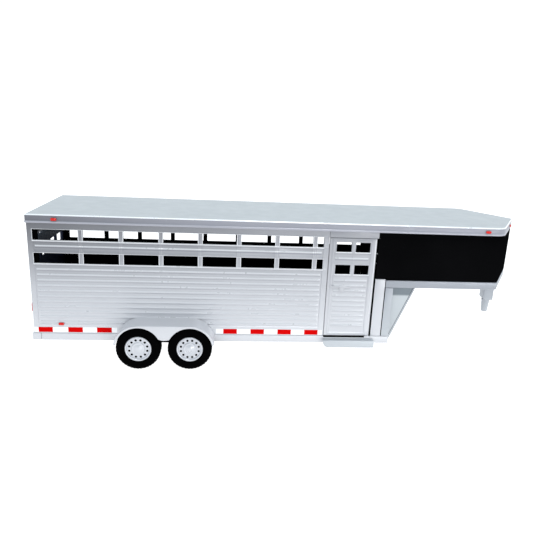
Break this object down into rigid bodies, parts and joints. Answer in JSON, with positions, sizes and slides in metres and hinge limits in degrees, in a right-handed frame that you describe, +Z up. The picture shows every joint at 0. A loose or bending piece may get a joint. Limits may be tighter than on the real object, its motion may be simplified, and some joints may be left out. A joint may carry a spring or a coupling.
{
  "type": "toy livestock trailer",
  "caption": "Scale-model gooseneck livestock trailer: slatted silver box, black arrow-shaped nose, tandem wheels, hinged side door and a rear gate with a sliding half.",
  "frame": {"origin": "middle of the bottom of the bounding box, on the ground between the side faces of the tyres", "axes": "+X forward to the nose tip, +Y to the left (road) side, +Z up; the side door is on the -Y side"},
  "size_m": [0.4638, 0.1476, 0.1352],
  "materials": {
    "silver_plastic": "metallic silver paint on moulded plastic",
    "roof_silver": "satin pale blue-grey silver paint",
    "black_plastic": "satin black",
    "tyre": "matt black soft vinyl with tread",
    "wheel_silver": "bright silver paint",
    "axle_steel": "drawn steel pin",
    "red_lens": "glossy red paint",
    "reflective_tape": "white band with red blocks"
  },
  "bodies": {
    "trailer": {"coupler_neck": "silver_plastic", "coupler_pin": "silver_plastic", "deck": "silver_plastic", "door_header": "silver_plastic", "door_step": "silver_plastic", "front_post": "silver_plastic", "front_wall": "silver_plastic", "gate_hinge_pin": "axle_steel", "left_fender": "silver_plastic", "left_front_column": "silver_plastic", "left_front_marker": "red_lens", "left_front_tape": "reflective_tape", "left_gusset": "silver_plastic", "left_lower_rail": "silver_plastic", "left_nose_marker": "red_lens", "left_nose_rail": "silver_plastic", "left_nose_shell": "black_plastic", "left_rear_marker": "red_lens", "left_rear_post": "silver_plastic", "left_rear_tape": "reflective_tape", "left_side_marker": "red_lens", "left_suspension": "black_plastic", "left_tail_lamp": "red_lens", "left_wall": "silver_plastic", "nose_floor": "silver_plastic", "rear_header": "silver_plastic", "rear_sill": "silver_plastic", "right_fender": "silver_plastic", "right_front_column": "silver_plastic", "right_front_marker": "red_lens", "right_front_tape": "reflective_tape", "right_gusset": "silver_plastic", "right_lower_rail": "silver_plastic", "right_nose_marker": "red_lens", "right_nose_rail": "silver_plastic", "right_nose_shell": "black_plastic", "right_rear_marker": "red_lens", "right_rear_post": "silver_plastic", "right_rear_tape": "reflective_tape", "right_side_marker": "red_lens", "right_suspension": "black_plastic", "right_tail_lamp": "red_lens", "right_wall": "silver_plastic", "roof": "roof_silver"},
    "side_door": {"side_door": "silver_plastic", "side_door_latch": "silver_plastic"},
    "rear_gate": {"gate": "silver_plastic", "gate_latch": "silver_plastic"},
    "gate_slider": {"gate_slider": "silver_plastic"},
    "rear_axle_set": {"rear_axle": "axle_steel", "tyre_right_rear": "tyre", "tyre_left_rear": "tyre", "rim_right_rear": "wheel_silver", "rim_left_rear": "wheel_silver"},
    "front_axle_set": {"front_axle": "axle_steel", "tyre_right_front": "tyre", "tyre_left_front": "tyre", "rim_right_front": "wheel_silver", "rim_left_front": "wheel_silver"}
  },
  "joints": [
    {"name": "side_door_hinge", "type": "hinge", "parent": "trailer", "child": "side_door", "pos_m": [0.07746, -0.0501, 0.0735], "axis": [0, 0, 1], "range_deg": [0, 110]},
    {"name": "rear_gate_hinge", "type": "hinge", "parent": "trailer", "child": "rear_gate", "pos_m": [-0.23064, 0.0459, 0.0735], "axis": [0, 0, -1], "range_deg": [0, 170]},
    {"name": "gate_slide", "type": "slide", "parent": "rear_gate", "child": "gate_slider", "axis": [0, 1, 0], "range_m": [0, 0.034]},
    {"name": "rear_axle_spin", "type": "hinge", "parent": "trailer", "child": "rear_axle_set", "pos_m": [-0.13424, 0, 0.01975], "axis": [0, 1, 0], "continuous": true},
    {"name": "front_axle_spin", "type": "hinge", "parent": "trailer", "child": "front_axle_set", "pos_m": [-0.08884, 0, 0.01975], "axis": [0, 1, 0], "continuous": true}
  ]
}
